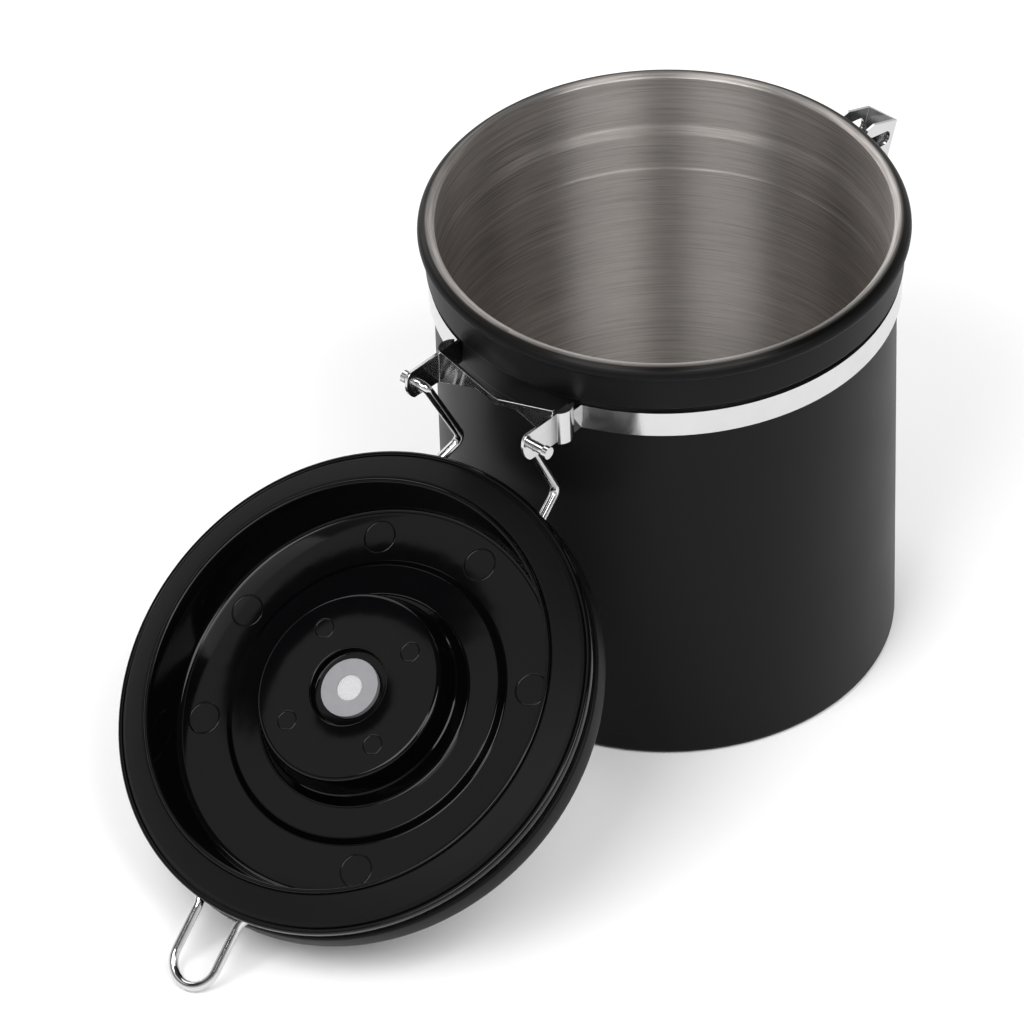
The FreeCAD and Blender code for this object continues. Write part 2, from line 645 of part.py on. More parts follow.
def make_latch_bracket():
    """Curved plate on the strap with an arm and a knuckle for the link."""
    bracket = new_body("latch_bracket")
    turn(bracket, "plate", [
        (BAND_OUTSIDE, k.plate_bottom),
        (PLATE_OUTSIDE, k.plate_bottom),
        (PLATE_OUTSIDE, k.plate_top),
        (BAND_OUTSIDE, k.plate_top),
    ], k.plate_half_angle)
    arm = new_sketch(bracket, "arm_outline", "XZ_Plane", -k.knuckle_half)
    arm_root = PLATE_OUTSIDE - k.sheet * 0.5
    draw(arm, [
        (arm_root, k.arm_bottom),
        (k.link_reach, k.link_height - k.knuckle_radius, k.knuckle_radius),
        (k.link_reach + k.knuckle_radius, k.link_height, k.knuckle_radius),
        (k.link_reach, k.link_height + k.knuckle_radius),
        (arm_root, k.link_height + k.knuckle_radius),
    ])
    draw_circle(arm, k.link_reach, k.link_height, LINK_HOLE)
    pad(bracket, "arm", arm, k.knuckle_half * 2)
    holes = new_sketch(bracket, "rivet_hole_outline", "YZ_Plane", PLATE_OUTSIDE)
    draw_circle(holes, -k.rivet_half, k.rivet_height, RIVET_HOLE)
    draw_circle(holes, k.rivet_half, k.rivet_height, RIVET_HOLE)
    pocket(bracket, "rivet_holes", holes, k.sheet * 2)
    return bracket


def make_latch_rivet(label, side):
    """Rivet whose domed head lies on the latch plate; its axis is turned to +X."""
    rivet = new_body(label)
    shank_length = k.band_thickness + k.sheet - k.rivet_tail
    turn(rivet, label + "_form", [
        (0, -shank_length),
        (k.rivet_shank, -shank_length),
        (k.rivet_shank, 0),
        (k.rivet_head, 0),
        (k.rivet_head, k.rivet_head_side),
        (k.rivet_head_flat, k.rivet_head_height),
        (0, k.rivet_head_height),
    ])
    head_inner = k.rivet_half.value - k.rivet_head.value
    face = math.sqrt(PLATE_OUTSIDE.value ** 2 - head_inner ** 2)
    spot = Vector(face, side * k.rivet_half.value, k.rivet_height.value)
    rivet.Placement = Placement(spot, Rotation(Vector(0, 1, 0), 90))
    return rivet


def make_lid_liner(placement):
    """Moulded underside of the lid: hub with valve seat, ledge, trough, rim, flange and groove wall."""
    liner = new_body("lid_liner")
    back = k.trough_depth + k.liner_wall
    ledge_back = k.ledge_depth + k.liner_wall
    hub_back = k.liner_wall - k.hub_face
    turn(liner, "liner_form", [
        (VALVE_HOLE, k.recess_floor),
        (k.recess_radius, k.recess_floor),
        (k.recess_radius, -k.hub_face),
        (k.hub_radius - k.hub_edge, -k.hub_face, k.hub_edge),
        (k.hub_radius, k.hub_edge - k.hub_face),
        (k.hub_root, k.ledge_depth),
        (k.ledge_radius, k.ledge_depth),
        (k.ledge_radius + k.ledge_slope, k.trough_depth),
        (k.trough_radius, k.trough_depth),
        (k.rim_inside, -k.rim_depth),
        (k.rim_outside, -k.rim_depth),
        (k.rim_outside, k.gasket_seat),
        (k.liner_lip, k.gasket_seat),
        (k.liner_lip, k.liner_lip_face),
        (k.liner_radius, k.liner_lip_face),
        (k.liner_radius, k.flange_back),
        (k.liner_neck, k.flange_back),
        (k.liner_neck, CAP_INSIDE_TOP),
        (k.liner_neck - k.liner_wall, CAP_INSIDE_TOP),
        (k.liner_neck - k.liner_wall, k.flange_back),
        (k.rim_inside + k.liner_wall, k.flange_back),
        (k.trough_radius + k.liner_wall, back),
        (k.ledge_radius, back),
        (k.ledge_radius - k.ledge_slope, ledge_back),
        (k.hub_root - k.liner_wall, ledge_back),
        (k.hub_radius - k.liner_wall, hub_back),
        (k.recess_radius + k.liner_wall, hub_back),
        (k.recess_radius + k.liner_wall, RECESS_BACK),
        (VALVE_HOLE, RECESS_BACK),
    ])
    liner.Placement = placement
    return liner


def make_lid_gasket(placement):
    """Sealing ring with a sloping face."""
    gasket = new_body("lid_gasket")
    turn(gasket, "gasket_form", [
        (k.rim_outside, -k.gasket_inner_face),
        (k.gasket_break_radius, -k.gasket_break_face),
        (k.gasket_radius, 0),
        (k.gasket_radius, k.gasket_seat),
        (k.rim_outside, k.gasket_seat),
    ])
    gasket.Placement = placement
    return gasket


def make_lid_cap(placement):
    """Sheet top of the lid with a turned-in hem that closes the wire groove."""
    cap = new_body("lid_cap")
    inside = k.cap_radius - k.sheet
    edge_inside = k.cap_edge - k.sheet
    hem = k.liner_neck + k.cap_clearance
    edge_middle = k.cap_radius - k.cap_edge
    edge_height = k.cap_top - k.cap_edge
    turn(cap, "cap_form", [
        (hem, k.cap_bottom),
        (k.cap_radius - k.sheet, k.cap_bottom, k.sheet),
        (k.cap_radius, k.cap_bottom + k.sheet),
        (k.cap_radius, edge_height, k.cap_edge),
        (edge_middle, k.cap_top),
        (VENT_OPENING, k.cap_top),
        (VENT_OPENING, CAP_INSIDE_TOP),
        (edge_middle, CAP_INSIDE_TOP, -edge_inside),
        (inside, edge_height),
        (inside, k.cap_bottom + k.sheet),
        (hem, k.cap_bottom + k.sheet),
    ])
    cap.Placement = placement
    return cap


def make_valve_body(placement):
    """Clear valve seat: flange in the hub's recess and a tube through the liner with a lip behind it."""
    valve = new_body("valve_body")
    lip_top = RECESS_BACK + k.valve_lip
    turn(valve, "valve_form", [
        (k.valve_bore, k.recess_floor - k.valve_flange),
        (k.valve_radius, k.recess_floor - k.valve_flange),
        (k.valve_radius, k.recess_floor),
        (k.valve_tube, k.recess_floor),
        (k.valve_tube, RECESS_BACK),
        (k.valve_tube + k.valve_lip, RECESS_BACK),
        (k.valve_tube, lip_top),
        (k.valve_tube, k.valve_tube_top),
        (k.valve_bore, k.valve_tube_top),
    ])
    valve.Placement = placement
    return valve


def make_valve_filter(placement):
    """White filter disc in the valve's bore."""
    disc = new_body("valve_filter")
    face = k.recess_floor - k.valve_flange + k.filter_recess
    turn(disc, "filter_form", [
        (0, face),
        (k.valve_bore, face),
        (k.valve_bore, face + k.filter_thickness),
        (0, face + k.filter_thickness),
    ])
    disc.Placement = placement
    return disc


def make_valve_flap(placement):
    """Disc that rests on the valve tube and lifts to let gas out."""
    flap = new_body("valve_flap")
    turn(flap, "flap_form", [
        (0, FLAP_BOTTOM),
        (k.flap_radius, FLAP_BOTTOM),
        (k.flap_radius, FLAP_BOTTOM + k.flap_thickness),
        (0, FLAP_BOTTOM + k.flap_thickness),
    ])
    flap.Placement = placement
    return flap


def make_vent_cap(placement):
    """Outlet on top of the lid; its tube reaches down and cages the flap."""
    vent = new_body("vent_cap")
    top = k.cap_top + k.vent_height
    stop_top = STOP_BOTTOM + k.sheet
    barb = CAGE_OUTSIDE + k.valve_lip
    turn(vent, "vent_form", [
        (CAGE_INSIDE, k.valve_tube_top + k.cage_overlap),
        (CAGE_OUTSIDE, k.valve_tube_top + k.cage_overlap),
        (CAGE_OUTSIDE, CAP_INSIDE_TOP - k.valve_lip),
        (barb, CAP_INSIDE_TOP),
        (CAGE_OUTSIDE, CAP_INSIDE_TOP),
        (CAGE_OUTSIDE, k.cap_top),
        (k.vent_radius, k.cap_top),
        (k.vent_radius, top - k.vent_edge, k.vent_edge),
        (k.vent_radius - k.vent_edge, top),
        (0, top),
        (0, k.cap_top),
        (CAGE_INSIDE, k.cap_top),
        (CAGE_INSIDE, stop_top),
        (k.stop_bore, stop_top),
        (k.stop_bore, STOP_BOTTOM),
        (CAGE_INSIDE, STOP_BOTTOM),
    ])
    holes = new_sketch(vent, "outlet_outline", "XY_Plane", top)
    draw_circle(holes, k.vent_hole_circle, 0, k.vent_hole)
    draw_circle(holes, -k.vent_hole_circle, 0, k.vent_hole)
    draw_circle(holes, 0, k.vent_hole_circle, k.vent_hole)
    draw_circle(holes, 0, -k.vent_hole_circle, k.vent_hole)
    pocket(vent, "outlets", holes, k.vent_height)
    vent.Placement = placement
    return vent


def tangent_spot(reach, half, from_hinge):
    """Where a line from a corner outside the wire ring touches that ring."""
    distance = math.hypot(reach, half)
    spread = math.acos(k.ring_radius.value / distance)
    angle = math.atan2(half, reach)
    angle = angle - spread if from_hinge else angle + spread
    return angle


def ring_point(angle):
    ring = k.ring_radius.value
    return Vector(ring * math.cos(angle), ring * math.sin(angle), k.ring_depth.value)


def flipped(point):
    return Vector(point.x, -point.y, point.z)


def loop_middle():
    """Middle of the front loop's round end, from the lid's axis."""
    return k.loop_tip.value - k.loop_half.value * math.cos(math.radians(k.loop_slope.value))


def make_lid_wire(placement):
    """One bent wire: hinge pin, leg, ring round the lid and front loop, the same on both sides."""
    pin_depth = k.hinge_height.value - k.lid_plane.value
    pin = Vector(-k.hinge_reach.value, k.pin_end.value, pin_depth)
    foot = Vector(-k.hinge_reach.value, k.leg_foot.value, pin_depth)
    knee = Vector(-k.knee_reach.value, k.knee_half.value, k.knee_depth.value)
    leg_corner = Vector(-k.leg_corner_reach.value, k.leg_corner_half.value, k.ring_depth.value)
    loop_corner = Vector(k.loop_corner_reach.value, k.loop_half.value, k.ring_depth.value)
    tip = Vector(k.loop_tip.value, 0, loop_depth(k.loop_tip.value))
    tip_start = Vector(loop_middle(), k.loop_half.value, loop_depth(loop_middle()))
    ring_start = tangent_spot(-k.leg_corner_reach.value, k.leg_corner_half.value, True)
    ring_end = tangent_spot(k.loop_corner_reach.value, k.loop_half.value, False)
    ring_middle = (ring_start + ring_end) / 2
    bend = k.wire_bend.value
    leg = [pin, foot, knee, leg_corner, ring_point(ring_start)]
    loop = [ring_point(ring_end), loop_corner, tip_start]
    other_loop = [flipped(point) for point in reversed(loop)]
    arc = [ring_point(ring_start), ring_point(ring_middle), ring_point(ring_end)]
    other_arc = [flipped(point) for point in reversed(arc)]
    other_leg = [flipped(point) for point in reversed(leg)]
    edges = rounded_path(leg, [k.pin_bend.value, bend, bend])
    edges.append(Part.Arc(*arc).toShape())
    edges.extend(rounded_path(loop, [k.loop_bend.value]))
    edges.append(Part.Arc(tip_start, tip, flipped(tip_start)).toShape())
    edges.extend(rounded_path(other_loop, [k.loop_bend.value]))
    edges.append(Part.Arc(*other_arc).toShape())
    edges.extend(rounded_path(other_leg, [bend, bend, k.pin_bend.value]))
    shape = round_bar(edges, k.wire_radius.value)
    for end, direction in ((pin, Vector(0, -1, 0)), (flipped(pin), Vector(0, 1, 0))):
        head = Part.makeCylinder(k.pin_head_radius.value, k.pin_head_length.value, end, direction)
        shape = shape.fuse(head)
    return new_feature("lid_wire", shape.removeSplitter(), placement)


def hook_seat_closed():
    """Middle of the front loop where it passes a lever side, with the lid closed."""
    half = k.lever_half.value - k.sheet.value * 0.5
    beyond = math.sqrt(k.loop_half.value ** 2 - half ** 2)
    reach = loop_middle() + beyond * math.cos(math.radians(k.loop_slope.value))
    return Vector(reach, 0, k.lid_plane.value + loop_depth(reach))


def latch_pose():
    """Rest positions of the lever's seat and pivot and the angle of the link below level."""
    tilt = Rotation(Vector(0, 1, 0), k.lever_tilt.value)
    seat_to_pivot = tilt.multVec(Vector(-k.pivot_inwards.value, 0, -k.pivot_below.value))
    fixed = Vector(k.link_reach.value, 0, k.link_height.value)
    pivot_closed = hook_seat_closed() + seat_to_pivot
    arm = pivot_closed - fixed
    pivot = fixed + Vector(arm.x, 0, -arm.z)
    angle = math.degrees(math.atan2(arm.z, arm.x))
    return SimpleNamespace(fixed=fixed, pivot=pivot, seat=pivot - seat_to_pivot, tilt=tilt, angle=angle)


def make_latch_link(pose):
    """U-shaped wire: its bar turns in the bracket's knuckle, its two ends in the lever."""
    length = (pose.pivot - pose.fixed).Length
    half = k.link_half.value
    end = k.link_end.value
    points = [
        Vector(length, end, 0),
        Vector(length, half, 0),
        Vector(0, half, 0),
        Vector(0, -half, 0),
        Vector(length, -half, 0),
        Vector(length, -end, 0),
    ]
    shape = round_bar(rounded_path(points, [k.link_bend.value] * 4), k.link_wire.value)
    placement = Placement(pose.fixed, Rotation(Vector(0, 1, 0), pose.angle))
    return new_feature("latch_link", shape, placement)


def make_clamp_lever(pose):
    """U-channel lever; the seat of its hook slots is the origin, Z runs up the lever, +X points outwards."""
    lever = new_body("clamp_lever")
    tail = k.lever_top - k.lever_length
    inside = k.lever_half - k.sheet
    cheek_bottom = -(k.pivot_below + k.cheek_below)
    side = new_sketch(lever, "side_outline", "XZ_Plane", inside)
    draw(side, [
        (k.lever_web, k.lever_top),
        (k.nose_chamfer - k.nose_reach, k.lever_top),
        (-k.nose_reach, k.lever_top - k.nose_fall),
        (-k.nose_reach, k.nose_tip),
        (-k.throat_reach, k.throat_top),
        (k.slot_end, k.slot_half, -k.slot_half),
        (k.slot_end + k.slot_half, 0, -k.slot_half),
        (k.slot_end, -k.slot_half),
        (-k.cheek_reach, -k.mouth_drop),
        (-k.cheek_reach, cheek_bottom),
        (k.lever_web - k.lever_tail_depth, tail + k.flare_length),
        (k.lever_web - k.sheet, tail + k.tail_taper),
        (k.lever_web, tail + k.flare_length),
    ])
    draw_circle(side, -k.pivot_inwards, -k.pivot_below, LINK_HOLE)
    one_side = pad(lever, "side", side, k.sheet)
    mirror(lever, "sides", [one_side])
    web = new_sketch(lever, "web_outline", "XZ_Plane", -inside)
    draw(web, [
        (k.lever_web, k.lever_top),
        (k.lever_web - k.sheet, k.lever_top),
        (k.lever_web - k.sheet, tail + k.flare_length),
        (k.lever_web - k.sheet + k.lever_flare, tail),
        (k.lever_web + k.lever_flare, tail),
        (k.lever_web, tail + k.flare_length),
    ])
    pad(lever, "web", web, inside * 2)
    lever.Placement = Placement(pose.seat, pose.tilt)
    return lever


def check(parts):
    """Stop when a feature failed or a sub-part is empty, broken or in several pieces."""
    doc.recompute()
    for item in doc.Objects:
        if "Invalid" in item.State or "Error" in item.State:
            raise RuntimeError(item.Name + " failed")
    for part in parts:
        if part.Shape.isNull() or not part.Shape.isValid():
            raise RuntimeError(part.Label + " is not a valid solid")
        if len(part.Shape.Solids) != 1:
            raise RuntimeError(part.Label + " is not one solid")


def main():
    lid = lid_placement()
    latch = latch_pose()
    parts = [
        make_canister_body(),
        make_neck_band(),
        make_hinge_bracket(),
        make_latch_bracket(),
        make_latch_rivet("latch_rivet_left", 1),
        make_latch_rivet("latch_rivet_right", -1),
        make_lid_liner(lid),
        make_lid_gasket(lid),
        make_lid_cap(lid),
        make_valve_body(lid),
        make_valve_filter(lid),
        make_valve_flap(lid),
        make_vent_cap(lid),
        make_lid_wire(lid),
        make_latch_link(latch),
        make_clamp_lever(latch),
    ]
    check(parts)
    os.makedirs("parts", exist_ok=True)
    for part in parts:
        part.Shape.exportStep("parts/" + part.Label + ".step")


main()
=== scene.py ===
"""Looks of the opened coffee canister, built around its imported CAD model."""
import json
import math

import bmesh
import bpy
import numpy as np
from mathutils import Matrix, Vector


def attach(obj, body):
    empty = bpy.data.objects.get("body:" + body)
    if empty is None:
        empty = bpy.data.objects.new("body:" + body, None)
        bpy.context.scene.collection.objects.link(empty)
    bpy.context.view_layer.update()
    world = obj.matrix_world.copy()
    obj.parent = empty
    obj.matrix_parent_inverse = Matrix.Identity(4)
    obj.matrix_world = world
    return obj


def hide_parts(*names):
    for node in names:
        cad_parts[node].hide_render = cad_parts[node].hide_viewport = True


bl_info = {
    "name": "Coffee canister with valve",
    "version": (1, 0, 0),
    "blender": (4, 5, 0),
    "location": "View3D > Sidebar > Canister",
    "description": "Builds the visual pieces and the stage of an opened coffee canister",
    "category": "Object",
}

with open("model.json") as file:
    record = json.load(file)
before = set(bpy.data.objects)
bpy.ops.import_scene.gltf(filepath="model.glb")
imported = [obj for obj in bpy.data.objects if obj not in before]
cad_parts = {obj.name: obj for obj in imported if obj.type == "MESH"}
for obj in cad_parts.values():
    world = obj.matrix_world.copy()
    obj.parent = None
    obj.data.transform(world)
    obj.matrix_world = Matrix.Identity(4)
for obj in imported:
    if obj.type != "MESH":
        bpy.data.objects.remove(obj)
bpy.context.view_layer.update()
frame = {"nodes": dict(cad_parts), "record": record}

MM = 0.001
TURN = 2 * math.pi
# Steps round a turned piece, in one of its rounded corners and in each quarter of the rolled rim.
SEGMENTS = 288
CORNER_STEPS = 6
ARC_STEPS = 12
# The coating ends after so many steps of the rim's upper quarter.
COATED_STEPS = 6
# The rim's lip falls inwards as the gasket does, so that the closed lid stands clear of it.
LIP_SLOPE = 0.5
# Edges of the sheet fittings that turn by more than this are broken.
SHARP_EDGE = math.radians(28)
# Depths in the lid in millimetres, counted from the gasket's plane towards the lid's top.
TROUGH_FLOOR = 9.2
HUB_FACE = -2.0
# Where the moulding marks stand round the lid's axis, in degrees.
TROUGH_MARKS = (58, 97, 149, 188, 239, 328)
HUB_MARKS = (33, 123, 213, 303)


def length_prop(name, description, millimetres):
    """A length that a user can change."""
    return bpy.props.FloatProperty(
        name=name, description=description, default=millimetres * MM, unit="LENGTH", precision=5)


def colour_prop(name, description, code):
    """A colour that a user can change."""
    return bpy.props.FloatVectorProperty(
        name=name, description=description, default=linear(code), subtype="COLOR", size=3, min=0.0, max=1.0)


def linear(code):
    """Turn a hex sRGB colour into linear values."""
    values = []
    for start in (1, 3, 5):
        part = int(code[start:start + 2], 16) / 255
        values.append(part / 12.92 if part <= 0.04045 else ((part + 0.055) / 1.055) ** 2.4)
    return tuple(values)


class CanisterSizes(bpy.types.PropertyGroup):
    """Sizes of the canister."""
    body_radius: length_prop("Body radius", "Outside of the canister wall", 56.5)
    seat_radius: length_prop("Seat radius", "Canister under the strap", 56.8)
    neck_radius: length_prop("Neck radius", "Outside of the neck", 58.3)
    wall: length_prop("Wall", "Canister wall at its throat", 0.8)
    throat_radius: length_prop("Throat radius", "Inside of the neck where it is narrowest", 56.0)
    bore_radius: length_prop("Bore radius", "Inside below the step", 55.3)
    bottom_radius: length_prop("Bottom radius", "Inside below the ring", 55.1)
    step_top: length_prop("Step top", "Upper end of the step inside", 109.6)
    step_bottom: length_prop("Step bottom", "Lower end of the step inside", 106.6)
    ring_top: length_prop("Ring top", "Upper end of the ring inside", 96.6)
    ring_bottom: length_prop("Ring bottom", "Lower end of the ring inside", 96.0)
    base_edge: length_prop("Base edge", "Radius of the bottom edge", 1.4)
    seat_bottom: length_prop("Seat bottom", "Lower end of the strap seat", 102.9)
    seat_top: length_prop("Seat top", "Upper end of the strap seat", 110.7)
    shoulder_top: length_prop("Shoulder top", "Where the neck begins", 112.2)
    height: length_prop("Height", "Top of the rolled rim", 124.9)
    rim_radius: length_prop("Rim radius", "Widest radius of the rolled rim", 60.0)
    rim_waist: length_prop("Rim waist", "Height where the rolled rim is widest", 122.3)
    rim_bottom: length_prop("Rim bottom", "Lower end of the rolled rim", 121.3)
    rim_top_radius: length_prop("Rim top radius", "Where the rim is highest", 57.2)
    lip_radius: length_prop("Lip radius", "Inner edge of the rim", 55.7)


class LidSizes(bpy.types.PropertyGroup):
    """Place of the opened lid and sizes of its moulding marks."""
    hinge_reach: length_prop("Hinge reach", "Canister axis to hinge axis", 70.03)
    hinge_height: length_prop("Hinge height", "Table to hinge axis", 107.14)
    plane: length_prop("Lid plane", "Gasket plane when the lid is closed", 126.9)
    opening: bpy.props.FloatProperty(
        name="Opening", description="Angle the lid is opened by", default=math.radians(213.089),
        subtype="ANGLE")
    mark_circle: length_prop("Mark circle", "Moulding marks in the trough", 42.9)
    mark_radius: length_prop("Mark radius", "Size of one moulding mark", 4.0)
    hub_mark_circle: length_prop("Hub mark circle", "Moulding marks on the hub", 17.2)
    hub_mark_radius: length_prop("Hub mark radius", "Size of one hub mark", 2.4)


class CanisterColours(bpy.types.PropertyGroup):
    """Colours of the materials."""
    coat: colour_prop("Coat", "Matte coating", "#080808")
    steel: colour_prop("Steel", "Brushed steel inside", "#b6b1ad")
    bright: colour_prop("Bright steel", "Polished fittings", "#c6c6c6")
    moulding: colour_prop("Moulding", "Gloss black plastic", "#040405")
    silicone: colour_prop("Silicone", "Gasket", "#0a0a0a")
    valve: colour_prop("Valve", "Milky clear plastic", "#9b9a9e")
    filter: colour_prop("Filter", "White filter", "#b0b0b2")
    floor: colour_prop("Floor", "Studio floor", "#f6f6f6")


def join(tree, item, links):
    """Fill a node's inputs, by name or index: a socket is linked and any other value is set."""
    for key, value in links.items():
        if isinstance(value, bpy.types.NodeSocket):
            tree.links.new(value, item.inputs[key])
        else:
            item.inputs[key].default_value = value


def node(tree, kind, links=None, **settings):
    """Add a node with its settings and links."""
    item = tree.nodes.new(kind)
    for key, value in settings.items():
        setattr(item, key, value)
    join(tree, item, links or {})
    return item


def new_material(name):
    """A material that holds one Principled shader and the place on the piece."""
    material = bpy.data.materials.new(name)
    material.use_nodes = True
    tree = material.node_tree
    tree.nodes.clear()
    shader = node(tree, "ShaderNodeBsdfPrincipled")
    node(tree, "ShaderNodeOutputMaterial", {"Surface": shader.outputs["BSDF"]})
    place = node(tree, "ShaderNodeTexCoord").outputs["Object"]
    return material, tree, shader, place


def per_mm(width):
    """Scale of a noise whose patches are about so many millimetres wide."""
    return 1 / (width * MM)


def shades(colour, amount):
    """A darker and a lighter shade of a colour, each a share of it away."""
    dark = tuple(channel * (1 - amount) for channel in colour) + (1,)
    light = tuple(min(channel * (1 + amount), 1) for channel in colour) + (1,)
    return dark, light


def coat_material(colours):
    """Powder coating on steel: baked powder gives a matte black with a fine grain and an uneven sheen.

    The grain is drawn coarser than real powder, so that it shows.
    """
    material, tree, shader, place = new_material("matte_powder_coat")
    grain = node(tree, "ShaderNodeTexNoise", {"Vector": place, "Scale": per_mm(0.35), "Detail": 3})
    cloud = node(tree, "ShaderNodeTexNoise", {"Vector": place, "Scale": per_mm(25)}).outputs["Fac"]
    dark, light = shades(colours.coat, 0.12)
    colour = node(tree, "ShaderNodeMix", {"Factor": cloud, "A": dark, "B": light}, data_type="RGBA")
    sheen = node(tree, "ShaderNodeMapRange", {"Value": cloud, "To Min": 0.40, "To Max": 0.48})
    bump = node(tree, "ShaderNodeBump", {
        "Height": grain.outputs["Fac"], "Strength": 0.06, "Distance": 0.2 * MM})
    join(tree, shader, {
        "Base Color": colour.outputs["Result"], "Roughness": sheen.outputs["Result"],
        "Normal": bump.outputs["Normal"], "Specular IOR Level": 0.11})
    return material


def brushed_material(colours):
    """Steel brushed in rings round the canister's axis: long streaks, and a highlight drawn out across them.

    The streaks are drawn coarser than real brush lines, so that they show. Noise is read at the angle, the
    radius and the height of each place, with the angle counting for little, so that its patches become rings.
    On the outer part of the rim the steel darkens towards the coat colour with the radius: painted shade, so
    that the rim's highlight fades outwards from its inner edge.
    """
    material, tree, shader, place = new_material("brushed_steel")
    parts = node(tree, "ShaderNodeSeparateXYZ", {"Vector": place})
    height = parts.outputs["Z"]
    flat = node(tree, "ShaderNodeVectorMath", {0: place, 1: (1, 1, 0)}, operation="MULTIPLY")
    length = node(tree, "ShaderNodeVectorMath", {0: flat.outputs["Vector"]}, operation="LENGTH")
    radius = length.outputs["Value"]
    angle = node(tree, "ShaderNodeMath", {0: parts.outputs["Y"], 1: parts.outputs["X"]}, operation="ARCTAN2")
    along = node(tree, "ShaderNodeMath", {0: angle.outputs["Value"], 1: 1.2 * MM}, operation="MULTIPLY")
    rings = node(tree, "ShaderNodeCombineXYZ", {"X": along.outputs["Value"], "Y": radius, "Z": height})
    rings = rings.outputs["Vector"]
    fine = node(tree, "ShaderNodeTexNoise", {"Vector": rings, "Scale": per_mm(0.22)}).outputs["Fac"]
    coarse = node(tree, "ShaderNodeTexNoise", {"Vector": rings, "Scale": per_mm(0.6), "Detail": 3})
    both = node(tree, "ShaderNodeMath", {0: fine, 1: coarse.outputs["Fac"]}, operation="ADD").outputs["Value"]
    streak = node(tree, "ShaderNodeMapRange", {"Value": both, "From Min": 0.75, "From Max": 1.25})
    streak = streak.outputs["Result"]
    dark, light = shades(colours.steel, 0.30)
    steel = node(tree, "ShaderNodeMix", {"Factor": streak, "A": dark, "B": light}, data_type="RGBA")
    # Painted shade: above the neck, the rim's steel turns towards the coat colour as the radius grows,
    # standing in for the highlight fading outwards.
    above = node(tree, "ShaderNodeMapRange", {
        "Value": height, "From Min": 121.0 * MM, "From Max": 121.3 * MM}).outputs["Result"]
    outwards = node(tree, "ShaderNodeMapRange", {
        "Value": radius, "From Min": 56.8 * MM, "From Max": 58.2 * MM}).outputs["Result"]
    rim_shade_share = node(tree, "ShaderNodeMath", {0: above, 1: outwards}, operation="MULTIPLY").outputs["Value"]
    amount = node(tree, "ShaderNodeMapRange", {"Value": rim_shade_share, "To Min": 0.0, "To Max": 0.95})
    coat = tuple(colours.coat) + (1,)
    painted_rim_shade = node(tree, "ShaderNodeMix", {
        "Factor": amount.outputs["Result"], "A": steel.outputs["Result"], "B": coat}, data_type="RGBA")
    rough = node(tree, "ShaderNodeMapRange", {"Value": streak, "To Min": 0.45, "To Max": 0.37})
    tangent = node(tree, "ShaderNodeTangent", direction_type="RADIAL", axis="Z")
    bump = node(tree, "ShaderNodeBump", {"Height": fine, "Strength": 0.10, "Distance": 0.1 * MM})
    join(tree, shader, {
        "Base Color": painted_rim_shade.outputs["Result"], "Roughness": rough.outputs["Result"], "Metallic": 1.0,
        "Anisotropic": 0.95, "Anisotropic Rotation": 0.25, "Tangent": tangent.outputs["Tangent"],
        "Normal": bump.outputs["Normal"]})
    return material


def bright_material(colours):
    """Polished steel: a clear mirror with faint smears."""
    material, tree, shader, place = new_material("polished_steel")
    smear = node(tree, "ShaderNodeTexNoise", {"Vector": place, "Scale": per_mm(4), "Detail": 3})
    smear = smear.outputs["Fac"]
    dark, light = shades(colours.bright, 0.05)
    colour = node(tree, "ShaderNodeMix", {"Factor": smear, "A": dark, "B": light}, data_type="RGBA")
    rough = node(tree, "ShaderNodeMapRange", {"Value": smear, "To Min": 0.08, "To Max": 0.17})
    join(tree, shader, {
        "Base Color": colour.outputs["Result"], "Roughness": rough.outputs["Result"], "Metallic": 1.0})
    return material


def moulding_material(colours):
    """Gloss black moulded plastic: sharp reflections with a hint of ripple."""
    material, tree, shader, place = new_material("gloss_black_moulding")
    ripple = node(tree, "ShaderNodeTexNoise", {"Vector": place, "Scale": per_mm(6), "Detail": 1})
    ripple = ripple.outputs["Fac"]
    dark, light = shades(colours.moulding, 0.15)
    colour = node(tree, "ShaderNodeMix", {"Factor": ripple, "A": dark, "B": light}, data_type="RGBA")
    rough = node(tree, "ShaderNodeMapRange", {"Value": ripple, "To Min": 0.06, "To Max": 0.10})
    bump = node(tree, "ShaderNodeBump", {"Height": ripple, "Strength": 0.05, "Distance": 0.3 * MM})
    join(tree, shader, {
        "Base Color": colour.outputs["Result"], "Roughness": rough.outputs["Result"],
        "Normal": bump.outputs["Normal"], "Specular IOR Level": 0.2})
    return material


def silicone_material(colours):
    """Moulded silicone: a soft matte black."""
    material, tree, shader, place = new_material("black_silicone")
    grain = node(tree, "ShaderNodeTexNoise", {"Vector": place, "Scale": per_mm(0.5)}).outputs["Fac"]
    dark, light = shades(colours.silicone, 0.15)
    colour = node(tree, "ShaderNodeMix", {"Factor": grain, "A": dark, "B": light}, data_type="RGBA")
    rough = node(tree, "ShaderNodeMapRange", {"Value": grain, "To Min": 0.48, "To Max": 0.60})
    join(tree, shader, {
        "Base Color": colour.outputs["Result"], "Roughness": rough.outputs["Result"],
        "Specular IOR Level": 0.1})
    return material


def valve_material(colours):
    """Milky clear plastic that lets some light through."""
    material, tree, shader, place = new_material("milky_plastic")
    cloud = node(tree, "ShaderNodeTexNoise", {"Vector": place, "Scale": per_mm(2)}).outputs["Fac"]
    dark, light = shades(colours.valve, 0.08)
    colour = node(tree, "ShaderNodeMix", {"Factor": cloud, "A": dark, "B": light}, data_type="RGBA")
    rough = node(tree, "ShaderNodeMapRange", {"Value": cloud, "To Min": 0.25, "To Max": 0.35})
    join(tree, shader, {
        "Base Color": colour.outputs["Result"], "Roughness": rough.outputs["Result"],
        "Transmission Weight": 0.35})
    return material


